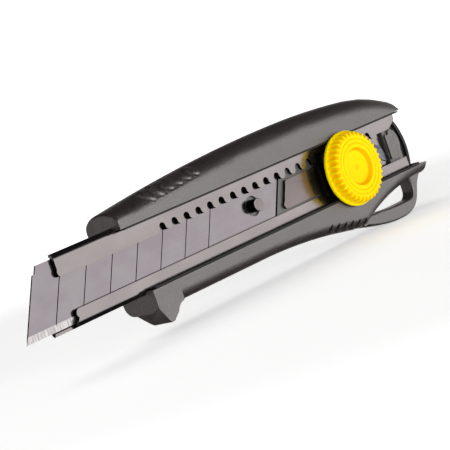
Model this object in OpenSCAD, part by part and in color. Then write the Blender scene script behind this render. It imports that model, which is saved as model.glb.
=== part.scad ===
// Utility knife with an 18 mm snap-off blade, a toothed sheet-metal rail and a dial lock.
// X runs along the blade to the rear, Y away from the dial, Z from the cutting edge to the spine.
// The origin lies on the flat far face of the handle, on the centre line of the rail.

/* [Blade] */
// Height of the blade, from edge to spine
blade_h = 18; // [15:0.5:21.5]
// Length of the blade, tip to tail along one edge
blade_len = 100; // [90:1:105]
// Thickness of the blade
blade_t = 0.5; // [0.3:0.05:0.6]
// Distance between two score lines
segment_len = 10; // [8:0.5:12]
// Angle between the score lines and the edge
blade_angle = 60; // [50:1:70]
// How far the tip stands in front of the rail's lower front corner
blade_out = 9.9; // [4:0.1:12]
// Height of the ground bevel
bevel_h = 1.95; // [1.2:0.05:2.6]
// Diameter of the hole in the tail
blade_hole_d = 6; // [4.8:0.1:6.5]
// From the lower end of the tail forward to the hole
hole_inset = 5.7; // [5:0.1:7]

/* [Rail] */
// Thickness of the rail's sheet metal
sheet_t = 0.8; // [0.5:0.05:0.9]
// Depth of the rail over both folds
rail_depth = 3.4; // [3.3:0.05:4]
// Length of the rail along its back plate
rail_len = 157; // [150:1:162]
// Free height above and below the blade in the folds
blade_gap = 0.4; // [0.2:0.05:0.6]
// Height of the toothed upper flange, to the tips of its teeth
upper_flange_h = 6.3; // [5.5:0.1:7]
// Height of the lower flange
lower_flange_h = 4.65; // [3.5:0.05:5.5]
// Distance between two teeth
tooth_pitch = 5; // [4:0.1:6]
// Number of gaps between the teeth
tooth_gaps = 20; // [18:1:21]
// From the rail's rear end to the last gap, middle to end
last_gap_inset = 15.1; // [12:0.1:18]

/* [Handle] */
// Thickness of the handle, without the dial
handle_t = 13.5; // [13:0.1:17]
// Thickness of the far-side shell
shell_t = 3; // [2.2:0.1:3.6]
// Thickness of the core wall behind the rail
core_wall_t = 4.3; // [3.5:0.1:5]
// Thickness of the grip skins
skin_t = 1.6; // [1:0.1:1.9]
// Length of the upper half, nose to rear end
handle_len = 130.3; // [120:1:134]
// Height of the crest above the rail
crest_h = 9.4; // [7:0.1:12]
// Depth of the handle below the rail
belly_h = 5.2; // [4.4:0.1:7]
// How far the handle's lips reach over the rail's flanges
lip_over = 1.5; // [1:0.1:2.5]
// Height of the rounding along the upper edges
top_round = 5.4; // [3.6:0.1:6.4]
// Width of the rounding along the upper edges
top_round_w = 6.4; // [3:0.1:6.4]
// Corner radius of the lower edges
bottom_round = 3.4; // [2:0.1:4]
// How far the finger guard reaches below the belly
guard_h = 3.9; // [2:0.1:8]
// Thickness of the lanyard loop's strap at the rear
strap_t = 3.2; // [2.4:0.1:4]
// Width of the lanyard loop's strap, across the handle
strap_w = 4.8; // [4:0.1:6.5]

/* [Dial lock] */
// Diameter of the dial over its base ring
dial_d = 23.1; // [20:0.1:25]
// Height of the dial
dial_h = 4; // [3.6:0.1:7]
// Number of flutes on the dial's side
dial_flutes = 36; // [24:1:48]
// Diameter of the dish in the dial's face
dish_d = 11.6; // [8:0.1:13]
// Depth of the dish in the dial's face
dish_depth = 1.3; // [0.6:0.1:1.6]
// Diameter of the clamp screw
screw_d = 5; // [4:0.1:5.5]
// From the dial's screw back to the rail's rear end
screw_inset = 31.9; // [30:0.1:33]
// How far the screw lies below the rail's centre line
screw_drop = 1.2; // [0.6:0.1:1.4]
// Travel of the clamp block between slack and tight
lock_lift = 0.8; // [0.6:0.05:1.2]
// Length of the clamp block along the rail
shoe_len = 16; // [12:0.5:18]
// Thickness of the clamp block
shoe_t = 2; // [1.6:0.1:2.4]
// Free space beside a clamp tooth in its gap
tooth_play = 0.2; // [0.1:0.05:0.35]
// Diameter of the peg that carries the blade
peg_d = 3.9; // [3:0.1:4.4]
// How far the peg stands in front of the blade
peg_out = 2.6; // [1.5:0.1:2.8]

/* [Hidden] */
$fn = 64;

// Clearances
slide_gap = 0.05;
seat_gap = 0.05;
over = 1;

// Layers across the handle, from the far face at zero towards the dial
core_back = -shell_t;
rail_back = core_back - core_wall_t;
rail_near = rail_back - rail_depth;
rail_floor = rail_back - sheet_t;
flange_in = rail_near + sheet_t;
near_face = -handle_t;
tongue_t = 0.8;
tongue_back = rail_floor - slide_gap;
tongue_near = tongue_back - tongue_t;
blade_back = tongue_near - slide_gap;
blade_near = blade_back - blade_t;
slider_near = flange_in + slide_gap;

// Heights
fold_r = rail_depth / 2;
rail_edge = blade_h / 2 + blade_gap + sheet_t;
fold_z = rail_edge - fold_r;
lip_z = rail_edge - lip_over;
window_top = rail_edge - upper_flange_h;
window_low = -rail_edge + lower_flange_h;
window_mid = (window_top + window_low) / 2;
edge_z = -blade_h / 2;
screw_z = -screw_drop;

// Places along the knife
rail_front = -95;
rail_rear = rail_front + rail_len;
tip_x = rail_front - blade_out;
tail_x = tip_x + blade_len;
slope = 1 / tan(blade_angle);
nose_x = -65.5;
end_x = nose_x + handle_len;
screw_x = rail_rear - screw_inset;
last_gap_x = rail_rear - last_gap_inset;
first_gap_x = last_gap_x - (tooth_gaps - 1) * tooth_pitch;

// Shape of the teeth: round lobes and round gaps that meet on one line
gap_r = tooth_pitch * 0.24;
lobe_r = tooth_pitch / 2 - gap_r;
tooth_line = window_top + lobe_r;
plain_edge_drop = 0.5;
plain_edge_z = tooth_line - plain_edge_drop;

// Outline of the handle
crest_x = nose_x + 78.5;
crest_z = rail_edge + crest_h;
front_fall = 5.1;
rear_fall = 4.1;
front_sweep = square_of(crest_x - nose_x) / (2 * front_fall);
rear_sweep = square_of(end_x - crest_x) / (2 * rear_fall);
tail_start = end_x - 20.5;
tail_sweep = 62;
nose_round = 0.8;
nose_flat = 2.2;
nose_blend = 30;
end_round = 3;
belly_z = -rail_edge - belly_h;
guard_x = nose_x + 3.7;
heel_start = end_x - 79.8;
heel_sweep = 230;
arm_x = end_x + 3.1;
arm_z = -rail_edge - 2;
arm_root_x = end_x - 28.2;
arm_sweep = 72;
heel_x = arm_root_x - 5.6;
tip_round = 1.6;
rim_x = end_x - 15;
rim_z = -2.9;
rim_r = 17.4;
rim_t = 1.2;
lip_strip = 0.4;
lip_seam = 0.15;
strap_swell = 1.3;
strap_inset = 1.8;

// Slider
slider_h = 2 * (fold_z - slide_gap);
slider_rear = screw_x + 4.9;
slide_rear = 15;
plate_play = 0.7;
plate_lead = 3;
plate_round = 1.2;
plate_near = rail_near + slide_gap;
peg_x = tail_x - hole_inset;
tongue_h = 8.4;
tongue_lead = 4.2;
slack_face = rail_near - lock_lift;
shoe_near = slack_face - shoe_t;
washer_least = 0.4;
washer_lip_gap = 0.5;
washer_r = lip_z - screw_drop - washer_lip_gap;
dial_base = min(near_face - lock_lift - slide_gap, shoe_near - washer_least);
dial_face = dial_base - dial_h;
dial_r = dial_d / 2;
screw_head_d = screw_d + 3.4;
screw_head_t = 0.8;
dish_floor_t = 0.6;
nut_r = screw_d / 2 + 1.8;
nut_end = dial_face + dish_depth + dish_floor_t;
screw_spare = 0.15;
screw_end = nut_end + lock_lift + screw_spare;
shoe_low = -lip_z + 0.5;
shoe_high = tooth_line + gap_r;
tooth_clear = 0.3;
tooth_depth = min(sheet_t - slide_gap, lock_lift - tooth_clear);
recess_r = screw_d / 2 + 2.4;
recess_depth = shoe_t - 0.5;
spring_wire_d = 0.4;
spring_r = screw_d / 2 + 1.45;
spring_turns = 1.75;
rivet_d = 1.6;
rivet_head_d = 2.4;
rivet_x = screw_x - 6.6;
rivet_inset = 1.95;
rivet_places = [window_low + rivet_inset, window_top - rivet_inset];

// Fasteners
fastener_d = 2.5;
fastener_head_d = 4.6;
shell_screw_places = [for (x = [nose_x + 14, end_x - 18]) for (z = [-5.5, 5.5]) [x, z]];
rail_screw_places = [for (x = [nose_x + 22, end_x - 19]) [x, 0]];
shell_screw_len = 4.8;
rail_screw_len = 3.6;

// End stopper
stopper_x = rail_rear - 6.2;
stopper_plate_t = flange_in + slide_gap;

// ---- Helpers ----

// Turns an outline drawn in X and Z into a plate that reaches from y_back towards the dial
module plate_y(y_back, y_near) {
    translate([0, y_back, 0]) rotate([90, 0, 0]) linear_extrude(y_back - y_near) children();
}

// A round bar along Y at x, z
module bar_y(x, z, y_back, y_near, d) {
    translate([x, y_back, z]) rotate([90, 0, 0]) cylinder(h = y_back - y_near, d = d);
}

// A box given by its lowest and highest corner
module box(low, high) {
    translate(low) cube(high - low);
}

// Everything on the dial's side of y
module near_half(y) {
    box([-200, -100, -100], [200, y, 100]);
}

// Everything on the far side of y
module far_half(y) {
    box([-200, y, -100], [200, 100, 100]);
}

// How much a corner of radius r has fallen at a distance d before its end
function fall(d, r) = d < r ? r - sqrt(r * r - (r - d) * (r - d)) : 0;

function square_of(v) = v * v;

// Height of the upper rounding at x: lower at the nose, where the front is flatter
function top_round_at(x) = top_round
    - nose_flat * square_of(max(0, 1 - (x - nose_x) / nose_blend));

// Top of the handle at x, before the nose and the rear end are rounded
function crest(x) = crest_z
    - square_of(x - crest_x) / (2 * (x < crest_x ? front_sweep : rear_sweep))
    - (x > tail_start ? square_of(x - tail_start) / (2 * tail_sweep) : 0);

function top_z(x, inset) = crest(x) - inset
    - fall(max(0, x - nose_x - inset), nose_round)
    - fall(max(0, end_x - inset - x), end_round);

// Underside of the handle at x: the belly, the heel, then the arm over the lanyard loop
function heel(x) = belly_z - (x > heel_start ? square_of(x - heel_start) / (2 * heel_sweep) : 0);

function arm(x) = arm_z - square_of(x - arm_x + 3.7) / (2 * arm_sweep);

function under(x) = x < heel_x ? heel(x)
    : x < arm_root_x
        ? heel(heel_x) + (arm(arm_root_x) - heel(heel_x)) * (x - heel_x) / (arm_root_x - heel_x)
    : x < arm_x - 3.7 ? arm(x)
    : arm_z;

function bottom_z(x, inset) = under(x) + inset + fall(max(0, arm_x - inset - x), tip_round);

// Places of the cross-sections: close together where an end is rounded
function ends_and_middle(x0, x1, r0, r1, steps) = concat(
    [for (a = [0:18:90]) x0 + r0 * (1 - cos(a))],
    [for (i = [1:steps - 1]) x0 + r0 + (x1 - r1 - x0 - r0) * i / steps],
    [for (a = [90:-18:0]) x1 - r1 * (1 - cos(a))]);

// Half cross-section at x from the middle height to z, with outer corners rounded over
// a width w and a height h
function half_ring(x, z, inset, w, h, up) = concat(
    [[x, -inset, 0]],
    [for (a = [0:15:90]) [x, -inset - w * (1 - cos(a)), z - up * h * (1 - sin(a))]],
    [for (a = [90:-15:0]) [x, near_face + inset + w * (1 - cos(a)), z - up * h * (1 - sin(a))]],
    [[x, near_face + inset, 0]]);

// A solid through equal rings of points, closed flat at both ends
module skin(rings, turn) {
    count = len(rings[0]);
    last = len(rings) - 1;
    sides = [for (i = [0:last - 1]) for (j = [0:count - 1])
        let (a = i * count + j, b = i * count + (j + 1) % count)
        for (t = [[a, b, b + count], [a, b + count, a + count]]) t];
    caps = [[for (j = [count - 1:-1:0]) j], [for (j = [0:count - 1]) last * count + j]];
    faces = concat(sides, caps);
    polyhedron(
        points = [for (ring = rings) for (p = ring) p],
        faces = turn ? [for (f = faces) [for (k = [len(f) - 1:-1:0]) f[k]]] : faces);
}

// Upper half of the handle, drawn in by inset on all outer faces
module upper_form(inset) {
    steps = ends_and_middle(nose_x + inset, end_x - inset, nose_round, end_round, 22);
    skin([for (x = steps)
        half_ring(x, top_z(x, inset), inset, top_round_w - inset, top_round_at(x) - inset, 1)], true);
}

// Lower half of the handle with the arm over the lanyard loop, drawn in by inset
module lower_form(inset) {
    r = max(0.6, bottom_round - inset);
    x0 = guard_x + inset;
    steps = ends_and_middle(x0, arm_x - inset, 0.4, tip_round, 26);
    skin([for (x = steps) if (x > x0 + 0.001 || x == steps[0])
        half_ring(x, bottom_z(x, inset), inset, r, r, -1)], false);
}

// Outline of the wall behind the rail, with its round rear end
module wall_outline() {
    translate([nose_x + 1, -lip_z]) square([rim_x - nose_x - 1, 2 * lip_z]);
    intersection() {
        translate([rim_x, rim_z]) circle(r = rim_r);
        translate([rim_x, -lip_z]) square([rim_r, 2 * lip_z + lip_strip]);
    }
}

// Outline of the finger guard
module guard_outline() {
    z1 = belly_z - guard_h;
    difference() {
        polygon([
            [guard_x, -rail_edge], [guard_x, belly_z + 1], [guard_x + 2.4, z1 + 0.6],
            [guard_x + 3, z1], [guard_x + 4, z1], [guard_x + 4.6, z1 + 0.5],
            [guard_x + 10, belly_z + 0.4], [guard_x + 10, -rail_edge]]);
        translate([guard_x + 10, z1 + 0.4]) circle(r = guard_h - 0.4 + 0.2);
    }
}

// Finger guard: as wide as the handle at the top, narrowing from the far side downwards
module guard_form() {
    z0 = belly_z + guard_h + 0.2;
    difference() {
        plate_y(0, near_face) guard_outline();
        plate_x(guard_x - over, guard_x + 12)
            polygon([[0, z0], [over, z0], [over, -60], [-0.78 * (z0 + 60), -60]]);
    }
}

// Turns an outline drawn in Y and Z into a bar between x0 and x1
module plate_x(x0, x1) {
    translate([x0, 0, 0]) rotate([90, 0, 90]) linear_extrude(x1 - x0) children();
}

// Outline of the rail's outside, in Y and Z, grown by a clearance
module rail_profile(grow) {
    mid = rail_near + fold_r;
    r = fold_r + grow;
    translate([mid - r, -fold_z]) square([2 * r, 2 * fold_z]);
    for (z = [-fold_z, fold_z]) translate([mid, z]) circle(r = r);
}

// Room for the rail in the handle, and for what moves in front of it between the lips
module rail_room() {
    plate_x(nose_x - over, rail_rear + seat_gap) rail_profile(seat_gap);
    box([nose_x - over, near_face - over, -lip_z], [end_x + 20, rail_back, lip_z]);
    box([rail_rear, rail_near - seat_gap, -lip_z], [end_x + 20, rail_back, lip_z]);
}

// ---- Handle ----

// Hard core of the handle with the wall behind the rail and the lanyard loop
module handle_body() {
    color([0.17, 0.17, 0.18]) difference() {
        union() {
            intersection() {
                union() {
                    upper_form(skin_t + seat_gap);
                    lower_form(skin_t + seat_gap);
                }
                near_half(core_back);
            }
            plate_y(core_back, rail_back) wall_outline();
            plate_y(rail_back + 0.1, rail_floor) rim_outline();
            lip_strips();
            loop_strap();
        }
        rail_room_without_rim();
        for (p = rail_screw_places)
            bar_y(p[0], p[1], core_back - 0.6, rail_floor - over, fastener_d);
        for (p = rail_screw_places)
            rail_screw_head(p, 0.02);
        for (p = shell_screw_places)
            bar_y(p[0], p[1], core_back + over, core_back - shell_screw_len + 1.4, fastener_d);
    }
}

// Room for the rail that leaves the rim round the rear end standing
module rail_room_without_rim() {
    difference() {
        rail_room();
        plate_y(rail_back + 0.2, rail_floor) rim_outline();
    }
}

// Low rim round the rear end of the core
module rim_outline() {
    intersection() {
        difference() {
            translate([rim_x, rim_z]) circle(r = rim_r);
            translate([rim_x, rim_z]) circle(r = rim_r - rim_t);
        }
        translate([rail_rear + 0.4, -lip_z]) square([rim_r, 2 * lip_z]);
    }
}

// Narrow edges of the core that show below the grip skins, along both lips
module lip_strips() {
    box([nose_x + skin_t, near_face + 0.2, lip_z], [end_x - 3, rail_near, lip_z + lip_strip]);
    box([guard_x + skin_t, near_face + 0.2, -lip_z - lip_strip], [arm_x - 4, rail_near, -lip_z]);
}

// Points of a cubic curve from its four control points
function curve(p, steps) = [for (i = [0:steps]) let (t = i / steps, u = 1 - t)
    p[0] * u * u * u + 3 * p[1] * u * u * t + 3 * p[2] * u * t * t + p[3] * t * t * t];

// Outline round the outside of the lanyard loop: along the bottom, round the rear, up to the arm
module loop_outline() {
    z = heel(heel_x);
    bottom = [[heel_x, z + 0.4], [heel_x + 7, z - 1.6], [heel_x + 13, z - 2.6], [heel_x + 19, z - 2.6]];
    rear = [[heel_x + 19, z - 2.6], [heel_x + 26.5, z - 2.6], [heel_x + 28.6, z + 0.2],
        [heel_x + 30.3, z + 3.8]];
    up = [[heel_x + 30.3, z + 3.8], [heel_x + 31.1, z + 5.4], [arm_x - 5.4, arm_z - 1.8],
        [arm_x - 3.4, arm_z]];
    polygon(concat([[heel_x, z + 4]], curve(bottom, 8), curve(rear, 10), curve(up, 6),
        [[arm_x - 5, arm_z + 2.4], [heel_x, arm_z + 2.4]]));
}

// The opening of the lanyard loop: a round corner at the rear, pointed towards the heel
module loop_opening() {
    x1 = arm_x - 6 - strap_t;
    z1 = heel(heel_x) - 2.6 + strap_t + strap_swell;
    r = 2.6;
    polygon(concat(
        [[arm_root_x, arm(arm_root_x)], [arm_root_x + 3.5, z1 + 0.7], [arm_root_x + 8, z1 + 0.2],
            [arm_root_x + 13, z1]],
        [for (a = [-90:15:0]) [x1 - r + r * cos(a), z1 + r + r * sin(a)]],
        [for (i = [0:6]) let (x = x1 - (x1 - arm_root_x) * i / 6) [x, arm(x)]]));
}

// The loop's strap: the outline less its opening, below the arm
module loop_strap() {
    plate_y(near_face + strap_inset + strap_w, near_face + strap_inset) difference() {
        loop_outline();
        loop_opening();
        translate([heel_x - over, arm_z + 2]) square([arm_x - heel_x + 2 * over, 40]);
    }
}

// Far-side shell of the handle
module back_shell() {
    color([0.16, 0.16, 0.17]) difference() {
        intersection() {
            union() {
                upper_form(0);
                lower_form(0);
                guard_form();
                plate_y(0, core_back) wall_outline();
            }
            far_half(core_back + 0.02);
        }
        for (p = shell_screw_places) {
            bar_y(p[0], p[1], over, core_back - over, fastener_d + 0.3);
            bar_y(p[0], p[1], over, core_back + 1.4, fastener_head_d + 0.3);
        }
    }
}

// Soft skin over the top of the handle
module top_grip() {
    color([0.22, 0.22, 0.23]) difference() {
        intersection() {
            upper_form(0);
            near_half(core_back);
        }
        upper_form(skin_t);
        box([-200, -100, -100], [200, 100, lip_z + lip_strip + lip_seam]);
        plate_x(nose_x - over, rail_rear + seat_gap) rail_profile(seat_gap);
    }
}

// Soft skin under the handle, with the finger guard
module lower_grip() {
    color([0.24, 0.24, 0.25]) difference() {
        intersection() {
            union() {
                lower_form(0);
                guard_form();
            }
            near_half(core_back);
        }
        lower_form(skin_t);
        box([-200, -100, -lip_z - lip_strip - lip_seam], [200, 100, 100]);
        plate_x(nose_x - over, rail_rear + seat_gap) rail_profile(seat_gap);
        loop_strap();
    }
}

// ---- Rail ----

// The window between the flanges, with the teeth along its upper side
module window_outline() {
    rear = rail_rear + over;
    difference() {
        union() {
            translate([rail_front - over, window_low])
                square([rear - rail_front + over, window_top - window_low]);
            translate([first_gap_x - gap_r - lobe_r, window_low])
                square([rear - first_gap_x + gap_r + lobe_r, tooth_line - window_low]);
            for (i = [0:tooth_gaps - 1])
                translate([first_gap_x + i * tooth_pitch, tooth_line]) circle(r = gap_r);
        }
        for (i = [0:tooth_gaps])
            translate([first_gap_x + (i - 0.5) * tooth_pitch, tooth_line]) circle(r = lobe_r);
        translate([last_gap_x + tooth_pitch / 2, plain_edge_z])
            square([rear - last_gap_x, tooth_line + over - plain_edge_z]);
    }
}

// What is cut off the front of the near flanges, to leave slanted round corners
module front_cut() {
    r = 1.2;
    top_x = rail_front + 6.3;
    low_x = rail_front + 9.1;
    difference() {
        union() {
            polygon([[-120, 0], [top_x + r, 0], [top_x + 1.9, rail_edge + over], [-120, rail_edge + over]]);
            polygon([[-120, 0], [low_x, 0], [low_x, window_low - r],
                [low_x - 3, -rail_edge - over], [-120, -rail_edge - over]]);
        }
        translate([top_x + r, window_top + r]) circle(r = r);
        translate([top_x + 0.3, window_top + r]) square([5, rail_edge]);
        translate([low_x, window_low - r]) circle(r = r);
    }
}

// Folded rail: back plate, two round folds and two flanges, the upper one toothed
module blade_rail() {
    mid = rail_near + fold_r;
    color([0.62, 0.61, 0.61]) difference() {
        plate_x(rail_front, rail_rear) difference() {
            rail_profile(0);
            translate([flange_in, -fold_z]) square([rail_depth - 2 * sheet_t, 2 * fold_z]);
            for (z = [-fold_z, fold_z]) translate([mid, z]) circle(r = fold_r - sheet_t);
        }
        plate_y(mid, rail_near - over) window_outline();
        plate_y(mid, rail_near - over) front_cut();
        plate_y(core_back, mid) polygon([
            [rail_front - over, -rail_edge - over], [rail_front - 0.4, -rail_edge - over],
            [rail_front + 9.1, rail_edge + over], [rail_front - over, rail_edge + over]]);
        plate_y(core_back, rail_near - over) polygon([
            [rail_rear + over, window_low], [rail_rear + over, tooth_line + lobe_r + 1],
            [rail_rear - 4.2, window_top + 0.6], [rail_rear - 4.2, window_top - 0.1],
            [rail_rear + 0.1, window_top - 2]]);
        for (p = rail_screw_places) rail_screw_head(p, 0.02);
    }
}

// Countersunk head of a rail screw, grown by a clearance
module rail_screw_head(p, grow) {
    translate([p[0], rail_floor, p[1]]) rotate([-90, 0, 0])
        cylinder(h = 1.4, r1 = fastener_head_d / 2 + grow, r2 = fastener_d / 2 + grow);
}

// Countersunk screws that hold the rail in the core
module rail_screws() {
    color([0.75, 0.75, 0.76]) for (p = rail_screw_places) difference() {
        union() {
            rail_screw_head(p, 0);
            bar_y(p[0], p[1], rail_floor + rail_screw_len, rail_floor + 0.7, fastener_d - 0.04);
        }
        for (a = [0, 90]) translate([p[0], rail_floor - 0.1, p[1]])
            rotate([0, a, 0]) box([-1.2, 0, -0.25], [1.2, 0.7, 0.25]);
    }
}

// Pan head screws that hold the far-side shell
module shell_screws() {
    color([0.3, 0.3, 0.31]) for (p = shell_screw_places) difference() {
        union() {
            bar_y(p[0], p[1], core_back + 1.4 + 1.1, core_back + 1.4, fastener_head_d);
            bar_y(p[0], p[1], core_back + 1.5, core_back - shell_screw_len + 1.8, fastener_d - 0.04);
        }
        for (a = [0, 90]) translate([p[0], core_back + 1.9, p[1]])
            rotate([0, a, 0]) box([-1.3, 0, -0.3], [1.3, 1, 0.3]);
    }
}

// ---- Blade and slider ----

// Snap-off blade with a ground edge, score lines and the hole in its tail
module snap_off_blade() {
    score_depth = 0.12;
    score_w = 0.3;
    notch = 2;
    notch_step = 0.7;
    color([0.66, 0.65, 0.68]) difference() {
        plate_y(blade_back, blade_near) polygon([
            [tip_x, edge_z], [tail_x, edge_z], [tail_x + slope * blade_h, edge_z + blade_h],
            [tip_x + slope * blade_h + notch_step, edge_z + blade_h],
            [tip_x + slope * (blade_h - notch) + notch_step, edge_z + blade_h - notch],
            [tip_x + slope * (blade_h - notch), edge_z + blade_h - notch]]);
        for (i = [1:floor(blade_len / segment_len) - 3])
            translate([tip_x + i * segment_len, blade_near, edge_z]) rotate([0, 90 - blade_angle, 0])
                box([-score_w / 2, -over, -over],
                    [score_w / 2, score_depth, blade_h / sin(blade_angle) + over]);
        plate_x(tip_x - over, tail_x + over) polygon([
            [blade_near - over, edge_z - over], [blade_near - over, edge_z + bevel_h],
            [blade_near, edge_z + bevel_h], [blade_near + blade_t / 2 - 0.02, edge_z - 0.001],
            [blade_near + blade_t / 2 - 0.02, edge_z - over]]);
        plate_x(tip_x - over, tail_x + over) polygon([
            [blade_back + over, edge_z - over], [blade_back + over, edge_z + bevel_h],
            [blade_back, edge_z + bevel_h], [blade_back - blade_t / 2 + 0.02, edge_z - 0.001],
            [blade_back - blade_t / 2 + 0.02, edge_z - over]]);
        bar_y(peg_x, 0, blade_back + over, blade_near - over, blade_hole_d);
    }
}

// Slider: a block behind the blade's tail and a thin tongue under the blade
module blade_slider() {
    z = slider_h / 2;
    lead = tail_x + 0.4;
    color([0.1, 0.1, 0.1]) difference() {
        union() {
            plate_y(tongue_back, slider_near) polygon([
                [lead + slope * (-z - edge_z), -z], [slider_rear - 1, -z], [slider_rear, -z + 1],
                [slider_rear, z - 1], [slider_rear - 1, z], [lead + slope * (z - edge_z), z]]);
            plate_y(tongue_back, tongue_near)
                translate([peg_x - tongue_lead, -tongue_h / 2])
                square([screw_x - peg_x, tongue_h]);
        }
        bar_y(peg_x, 0, 0, -50, peg_d);
        bar_y(screw_x, screw_z, 0, -50, screw_d + 0.1);
        bar_y(screw_x, screw_z, 0, tongue_back - screw_head_t - 0.02, screw_head_d + 0.1);
        for (z = rivet_places) {
            bar_y(rivet_x, z, 0, -50, rivet_d);
            bar_y(rivet_x, z, 0, tongue_back - 0.5, rivet_head_d);
        }
    }
}

// Bright plate on the slider, in the window between the flanges
module slider_plate() {
    lead = tail_x + plate_lead + slope * (-edge_z);
    low = window_low + plate_play;
    high = window_top - plate_play;
    r = plate_round;
    color([0.55, 0.54, 0.54]) difference() {
        plate_y(slider_near, plate_near) {
            polygon([
                [lead + slope * (low + r), low + r], [lead + slope * low + 2 * r, low],
                [slider_rear, low], [slider_rear, high], [lead + slope * high + r, high],
                [lead + slope * (high - r), high - r]]);
            translate([lead + slope * (low + r) + r, low + r]) circle(r = r);
            translate([lead + slope * (high - r) + r, high - r]) circle(r = r);
        }
        bar_y(screw_x, screw_z, 0, -50, screw_d + 0.2);
        for (z = rivet_places) bar_y(rivet_x, z, 0, -50, rivet_d);
    }
}

// Rivets that hold the plate on the slider
module plate_rivets() {
    color([0.6, 0.6, 0.6]) for (z = rivet_places) {
        bar_y(rivet_x, z, tongue_back - 0.02, plate_near, rivet_d);
        bar_y(rivet_x, z, tongue_back - 0.02, tongue_back - 0.5, rivet_head_d);
    }
}

// Peg that carries the blade by its hole
module blade_pin() {
    chamfer = 0.3;
    y1 = blade_near - peg_out;
    color([0.12, 0.12, 0.12]) union() {
        bar_y(peg_x, 0, tongue_back, y1 + chamfer, peg_d);
        translate([peg_x, y1 + chamfer, 0]) rotate([90, 0, 0])
            cylinder(h = chamfer, d1 = peg_d, d2 = peg_d - 2 * chamfer);
    }
}

// ---- Dial lock ----

// Screw fixed in the slider, on which the dial turns
module clamp_screw() {
    color([0.7, 0.7, 0.7]) union() {
        bar_y(screw_x, screw_z, tongue_back, tongue_back - screw_head_t, screw_head_d);
        bar_y(screw_x, screw_z, tongue_back, screw_end, screw_d);
    }
}

// Points of one ring of the spring's wire, at turn t
function wire_ring(t, rise) = [for (k = [0:7])
    let (r = spring_r + spring_wire_d / 2 * cos(45 * k), y = spring_wire_d / 2 * sin(45 * k))
    [r * cos(360 * t), y - rise * t, r * sin(360 * t)]];

// Coil spring that lifts the clamp block when the dial is slackened
module lift_spring() {
    free = plate_near - slack_face + recess_depth - spring_wire_d - 0.1;
    steps = 20 * spring_turns;
    color([0.8, 0.8, 0.8])
        translate([screw_x, plate_near - spring_wire_d / 2 - 0.05, screw_z])
        skin([for (i = [0:steps]) wire_ring(i / 20, free / spring_turns)], true);
}

// Places of the gaps that the clamp block's teeth enter: each tooth still meets a gap when the
// slider is at its rear end
shoe_gaps = [for (i = [0:tooth_gaps - 1 - floor(slide_rear / tooth_pitch)])
    let (x = first_gap_x + i * tooth_pitch)
    if (abs(x - screw_x) < shoe_len / 2 - gap_r) x];

// Clamp block: a plate with teeth that enter the gaps of the upper flange
module lock_shoe() {
    r = 2;
    x0 = screw_x - shoe_len / 2;
    x1 = screw_x + shoe_len / 2;
    color([0.08, 0.08, 0.08]) difference() {
        union() {
            plate_y(slack_face, shoe_near) {
                translate([x0 + r, shoe_low]) square([shoe_len - 2 * r, shoe_high - shoe_low]);
                translate([x0, shoe_low + r]) square([shoe_len, shoe_high - shoe_low - 2 * r]);
                for (x = [x0 + r, x1 - r]) for (z = [shoe_low + r, shoe_high - r])
                    translate([x, z]) circle(r = r);
            }
            for (x = shoe_gaps) plate_y(slack_face + tooth_depth, slack_face) {
                translate([x, tooth_line]) circle(r = gap_r - tooth_play);
                translate([x - gap_r + tooth_play, tooth_line - 2])
                    square([2 * (gap_r - tooth_play), 2]);
            }
        }
        bar_y(screw_x, screw_z, 0, -50, screw_d + 0.2);
        bar_y(screw_x, screw_z, 0, slack_face - recess_depth, 2 * recess_r);
    }
}

// Washer between the clamp block and the dial
module thrust_washer() {
    color([0.8, 0.8, 0.8]) difference() {
        bar_y(screw_x, screw_z, shoe_near, dial_base, 2 * washer_r);
        bar_y(screw_x, screw_z, 0, -50, screw_d + 0.2);
    }
}

// Brass nut moulded into the dial
module dial_nut() {
    color([0.8, 0.65, 0.3]) difference() {
        union() {
            bar_y(screw_x, screw_z, dial_base - 0.02, nut_end, 2 * nut_r);
            bar_y(screw_x, screw_z, dial_base - 0.02, dial_base - 0.7, 2 * nut_r + 1.6);
        }
        bar_y(screw_x, screw_z, 0, -50, screw_d + 0.1);
    }
}

// Half profile of the dial: radius against height above its base
module dial_profile() {
    dish_r = dish_d / 2;
    ring_h = 0.8;
    shoulder = 0.8;
    top_r = dial_r - 1;
    groove = 0.2;
    dimple_r = 0.8;
    polygon(concat(
        [[0, 0], [dial_r, 0], [dial_r, ring_h], [dial_r - 0.3, ring_h]],
        [for (a = [0:15:90]) [top_r - shoulder * (1 - cos(a)), dial_h - shoulder * (1 - sin(a))]],
        [for (r = [dish_r + 2.6, dish_r + 1.4])
            for (p = [[0.3, 0], [0.15, -groove], [-0.15, -groove], [-0.3, 0]])
                [r + p[0], dial_h + p[1]]],
        [[dish_r + 0.2, dial_h], [dish_r, dial_h - 0.2], [dish_r - 0.6, dial_h - dish_depth],
            [dimple_r, dial_h - dish_depth], [dimple_r - 0.3, dial_h - dish_depth - 0.2],
            [0, dial_h - dish_depth - 0.2]]));
}

// Fluted lock dial
module lock_dial() {
    flute_r = 0.55;
    color([1, 0.86, 0]) difference() {
        translate([screw_x, dial_base, screw_z]) rotate([90, 0, 0]) rotate_extrude($fn = 96)
            dial_profile();
        for (i = [0:dial_flutes - 1]) rotate_about(i * 360 / dial_flutes)
            bar_y(screw_x + dial_r - 0.4, screw_z, dial_base - 1, dial_face - over, 2 * flute_r);
        bar_y(screw_x, screw_z, dial_base + over, nut_end - 0.02, 2 * nut_r + 0.02);
        bar_y(screw_x, screw_z, dial_base + over, dial_base - 0.72, 2 * nut_r + 1.62);
    }
}

// Turns what follows about the dial's axis
module rotate_about(angle) {
    translate([screw_x, 0, screw_z]) rotate([0, angle, 0]) translate([-screw_x, 0, -screw_z])
        children();
}

// ---- Rear end ----

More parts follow.
